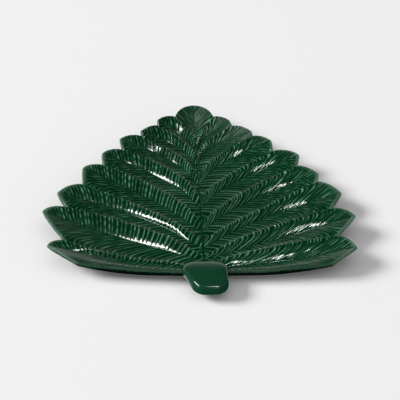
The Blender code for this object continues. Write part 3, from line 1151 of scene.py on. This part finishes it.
def add_ramp(
    tree: NodeTree,
    value: NodeSocket,
    reach: tuple[float, float] = (0.0, 1.0),
    result: tuple[float, float] = (0.0, 1.0),
    curve: str = "LINEAR",
) -> NodeSocket:
    """Map a value from one range to another, held at both ends.

    Args:
        tree: The node tree.
        value: The value.
        reach: Where the value's range starts and ends.
        result: What it becomes there.
        curve: Blender's name for the way between.

    Returns:
        The mapped value.
    """
    keys = ("From Min", "From Max", "To Min", "To Max")
    inputs = {"Value": value, **dict(zip(keys, (*reach, *result)))}
    return add_node(tree, "ShaderNodeMapRange", inputs, interpolation_type=curve).outputs[0]


def new_material(name: str) -> tuple[Material, NodeTree, Node]:
    """Make a material with nodes.

    Args:
        name: Name of the material.

    Returns:
        The material, its node tree and its shader.
    """
    material = bpy.data.materials.new(name)
    material.use_nodes = True
    return material, material.node_tree, material.node_tree.nodes["Principled BSDF"]


@dataclass(frozen=True)
class BreakingGlaze:
    """Green glaze on stoneware, fired glossy.

    It darkens in the grooves, partly from pooled glaze and partly from painted shade. It is paler over
    ridges and rims, partly where glaze runs thin and partly from painted highlight, and the needle ends
    carry painted glints. At the crown of the tree and along the front lip it is dry and mirrors the lamps
    less.
    """

    name: str = "green_breaking_glaze"
    pooled_and_shaded: str = "00200E"
    body: str = "05371F"
    thin: str = "7DB594"
    pale_rim_and_sheen: str = "6A8A74"
    roughness: float = 0.09
    dry_roughness: float = 0.3
    sheen: float = 0.5
    dry_sheen: float = 0.1
    ior: float = 1.52
    cloud_mm: float = 26.0
    cloud_detail: float = 3.0
    cloud_share: float = 0.5
    pool_range: tuple[float, float] = (0.2, 0.8)
    ripple_mm: float = 3.5
    ripple_detail: float = 1.0
    ripple_strength: float = 0.25
    ripple_height: float = 0.05 * MM

    def material(self) -> Material:
        """Make the material: colour by the traits, with slow clouds and a faint ripple.

        Returns:
            The material.
        """
        material, tree, shader = new_material(self.name)
        thin_glaze_and_highlight, groove, rim, dry = (
            add_node(tree, "ShaderNodeAttribute", attribute_name=trait).outputs["Fac"] for trait in TRAITS
        )
        cloud = add_noise(tree, self.cloud_mm, self.cloud_detail)
        # Darker where the cloud and the groove trait are high: pooled glaze and painted shade in the needle
        # grooves, and painted shade over the whole dish.
        deep = {0: cloud, 1: self.cloud_share, 2: groove}
        depth = add_node(tree, "ShaderNodeMath", deep, operation="MULTIPLY_ADD").outputs[0]
        colour = add_blend(tree, add_ramp(tree, depth, self.pool_range), self.body, self.pooled_and_shaded)
        # Paler along the needle lines and at their ends: partly glaze running thin, partly painted highlight
        # and painted glints.
        colour = add_blend(tree, thin_glaze_and_highlight, colour, self.thin)
        # Paler at rims and along the lip's top edge: partly glaze breaking thin, partly painted highlight.
        edge = add_node(tree, "ShaderNodeMath", {0: rim, 1: cloud}, operation="MULTIPLY", use_clamp=True)
        ripple = {
            "Height": add_noise(tree, self.ripple_mm, self.ripple_detail),
            "Strength": self.ripple_strength,
            "Distance": self.ripple_height,
        }
        finish = {
            "Base Color": add_blend(tree, edge.outputs[0], colour, self.pale_rim_and_sheen),
            "Normal": add_node(tree, "ShaderNodeBump", ripple).outputs["Normal"],
            "Roughness": add_ramp(tree, dry, result=(self.roughness, self.dry_roughness)),
            "Specular IOR Level": add_ramp(tree, dry, result=(self.sheen, self.dry_sheen)),
            "IOR": self.ior,
        }
        feed(tree, shader, finish)
        return material


@dataclass(frozen=True)
class BareStoneware:
    """Unglazed fired stoneware: warm, matt and finely grogged."""

    name: str = "bare_fired_stoneware"
    clay: str = "CDB99C"
    fired: str = "B79C7A"
    grog: str = "8A7257"
    roughness: float = 0.82
    ior: float = 1.5
    flush_mm: float = 22.0
    flush_detail: float = 4.0
    grog_mm: float = 0.9
    grog_detail: float = 2.0
    grog_range: tuple[float, float] = (0.6, 0.72)
    grog_strength: float = 0.5
    grog_height: float = 0.15 * MM

    def material(self) -> Material:
        """Make the material: clay with a slow flush of colour and fine grog that also roughens it.

        Returns:
            The material.
        """
        material, tree, shader = new_material(self.name)
        grain = add_noise(tree, self.grog_mm, self.grog_detail)
        flush = add_noise(tree, self.flush_mm, self.flush_detail)
        colour = add_blend(tree, flush, self.clay, self.fired)
        bump = {"Height": grain, "Strength": self.grog_strength, "Distance": self.grog_height}
        finish = {
            "Base Color": add_blend(tree, add_ramp(tree, grain, self.grog_range), colour, self.grog),
            "Normal": add_node(tree, "ShaderNodeBump", bump).outputs["Normal"],
            "Roughness": self.roughness,
            "IOR": self.ior,
        }
        feed(tree, shader, finish)
        return material


@dataclass(frozen=True)
class Lamp:
    """One soft lamp, aimed at a point on the table.

    A mirrored lamp shows in the glaze alone, and lights nothing else.
    """

    name: str
    place: tuple[float, float, float]
    size: tuple[float, float]
    watts: float
    mirrored: bool = True
    aim: tuple[float, float, float] = (0.0, 0.0, 0.0)


@dataclass
class Studio:
    """Pale table, soft lamps, a bright horizon under a dim ceiling, and the camera."""

    paper: str = "F1F1F1"
    paper_roughness: float = 0.9
    paper_sheen: float = 0.1
    floor_half: float = 6.0
    fill: float = 0.72
    fill_axis: tuple[float, float, float] = (0.0, -0.66, 0.751)
    fill_reach: tuple[float, float] = (-0.1, 0.9)
    sweep: float = 0.95
    sweep_height: tuple[float, float] = (0.02, 0.57)
    sweep_depth: tuple[float, float] = (0.2, 0.7)
    ceiling: float = 0.008
    backdrop: float = 0.86
    yaw: float = -3.8196
    elevation: float = 36.0
    roll: float = 2.2657
    distance: float = 1.300
    lens: float = 106.8
    sensor: float = 36.0
    shift: tuple[float, float] = (0.0027, 0.0023)
    lamps: tuple[Lamp, ...] = (
        Lamp("left_window", (-19.5, 1.6, 12.1), (11.0, 7.0), 5700.0, mirrored=False),
        Lamp("left_softbox", (-0.72, 1.48, 2.98), (0.42, 0.85), 33.0),
        Lamp("right_softbox", (0.35, 1.32, 3.0), (0.20, 0.24), 5.0),
        Lamp("left_overhead", (-1.23, 0.0, 2.75), (0.30, 0.22), 5.0),
        Lamp("right_overhead", (0.47, -0.1, 2.97), (0.34, 0.22), 5.5),
    )

    def build_floor(self) -> None:
        """Lay the table as one flat square of matt paper, which the glaze doesn't mirror."""
        half = self.floor_half
        corners = [(x * half, y * half, 0.0) for x, y in ((-1, -1), (1, -1), (1, 1), (-1, 1))]
        mesh = bpy.data.meshes.new("studio_table")
        mesh.from_pydata(corners, [], [(0, 1, 2, 3)])
        material, tree, shader = new_material("matt_white_paper")
        paper = {"Roughness": self.paper_roughness, "Specular IOR Level": self.paper_sheen}
        feed(tree, shader, {"Base Color": linear(self.paper), **paper})
        mesh.materials.append(material)
        floor = bpy.data.objects.new("studio_table", mesh)
        bpy.context.scene.collection.objects.link(floor)
        floor.visible_glossy = False

    def build_world(self) -> None:
        """Fill the room with soft light, and let glaze mirror a dim room with a pale sweep behind.

        The fill fades away from its axis, and the sweep by elevation and to the sides. The camera sees an
        even backdrop.
        """
        world = bpy.data.worlds.new("studio_room")
        world.use_nodes = True
        tree = world.node_tree
        way = add_node(tree, "ShaderNodeTexCoord").outputs["Generated"]
        parts = add_node(tree, "ShaderNodeSeparateXYZ", {0: way})
        low = add_ramp(tree, parts.outputs["Z"], self.sweep_height, (1.0, 0.0), "SMOOTHSTEP")
        behind = add_ramp(tree, parts.outputs["Y"], self.sweep_depth, curve="SMOOTHSTEP")
        sweep = add_node(tree, "ShaderNodeMath", {0: low, 1: behind}, operation="MULTIPLY")
        mirrored = add_ramp(tree, sweep.outputs[0], result=(self.ceiling, self.sweep))
        sides = {0: way, 1: self.fill_axis}
        facing = add_node(tree, "ShaderNodeVectorMath", sides, operation="DOT_PRODUCT")
        level = add_ramp(tree, facing.outputs["Value"], self.fill_reach, (0.0, self.fill), "SMOOTHSTEP")
        path = add_node(tree, "ShaderNodeLightPath")
        for ray, seen in (("Is Glossy Ray", mirrored), ("Is Camera Ray", self.backdrop)):
            inputs = {0: path.outputs[ray], 2: level, 3: seen}
            level = add_node(tree, "ShaderNodeMix", inputs, data_type="FLOAT").outputs[0]
        feed(tree, tree.nodes["Background"], {"Color": level})
        bpy.context.scene.world = world

    def build_lamps(self) -> None:
        """Hang the lamps, each turned to its aim."""
        for lamp in self.lamps:
            data = bpy.data.lights.new(lamp.name, "AREA")
            data.shape = "RECTANGLE"
            data.size, data.size_y = lamp.size
            data.energy = lamp.watts
            item = bpy.data.objects.new(lamp.name, data)
            item.location = lamp.place
            way = Vector(lamp.aim) - Vector(lamp.place)
            item.rotation_euler = way.to_track_quat("-Z", "Y").to_euler()
            item.visible_glossy = lamp.mirrored
            item.visible_diffuse = not lamp.mirrored
            bpy.context.scene.collection.objects.link(item)

    def build_camera(self) -> None:
        """Set the camera on its line of sight through the origin, turned by its small roll."""
        yaw, tilt, roll = (math.radians(value) for value in (self.yaw, self.elevation, self.roll))
        right = Vector((math.cos(yaw), math.sin(yaw), 0.0))
        flat = math.cos(tilt)
        ahead = Vector((-math.sin(yaw) * flat, math.cos(yaw) * flat, -math.sin(tilt)))
        up = right.cross(ahead)
        turned_right = math.cos(roll) * right + math.sin(roll) * up
        turned_up = math.cos(roll) * up - math.sin(roll) * right
        data = bpy.data.cameras.new("camera")
        data.sensor_width = self.sensor
        data.lens = self.lens
        data.shift_x, data.shift_y = self.shift
        camera = bpy.data.objects.new("camera", data)
        turn = Matrix((turned_right, turned_up, -ahead)).transposed()
        camera.matrix_world = Matrix.Translation(-self.distance * ahead) @ turn.to_4x4()
        bpy.context.scene.collection.objects.link(camera)
        bpy.context.scene.camera = camera

    def build(self) -> None:
        """Set up the table, the room, the lamps and the camera."""
        self.build_floor()
        self.build_world()
        self.build_lamps()
        self.build_camera()
        bpy.context.scene.view_settings.view_transform = "Standard"


def main() -> None:
    """Build the platter piece by piece, then the studio, and note both sizes."""
    logging.basicConfig(level=logging.INFO, format="%(message)s")
    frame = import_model()
    log.info("frame: %d nodes", len(frame["nodes"]))
    plan = TreePlan()
    carving = NeedleCarving()
    glaze = BreakingGlaze().material()
    # Darker copy of the glaze for the dish: painted shade on its wall, lip face and underside.
    shaded_glaze = BreakingGlaze(name="green_glaze_painted_shade", pooled_and_shaded="00130A", body="03301B").material()
    # Lighter copy of the glaze for the trunk: painted sheen, the glow of the room behind mirrored on its
    # top.
    sheen_glaze = BreakingGlaze(name="green_glaze_painted_sheen", body="143F2B").material()
    clay = BareStoneware().material()

    pieces: list[tuple[Piece, Material]] = [(Dish(plan), shaded_glaze), (Stem(plan), glaze)]
    pieces.append((Bough(plan, carving, 0, Side.RIGHT, "bough_top"), glaze))
    for side in Side:
        for number in range(1, plan.front_bough + 1):
            node = f"bough_{side.name.lower()}_{number}"
            pieces.append((Bough(plan, carving, number, side, node), glaze))
    pieces += [(Trunk(), sheen_glaze), (FootRing(plan), clay)]
    for piece, material in pieces:
        piece.dress(piece.build(), material)
    Studio().build()


if __name__ == "__main__":
    main()
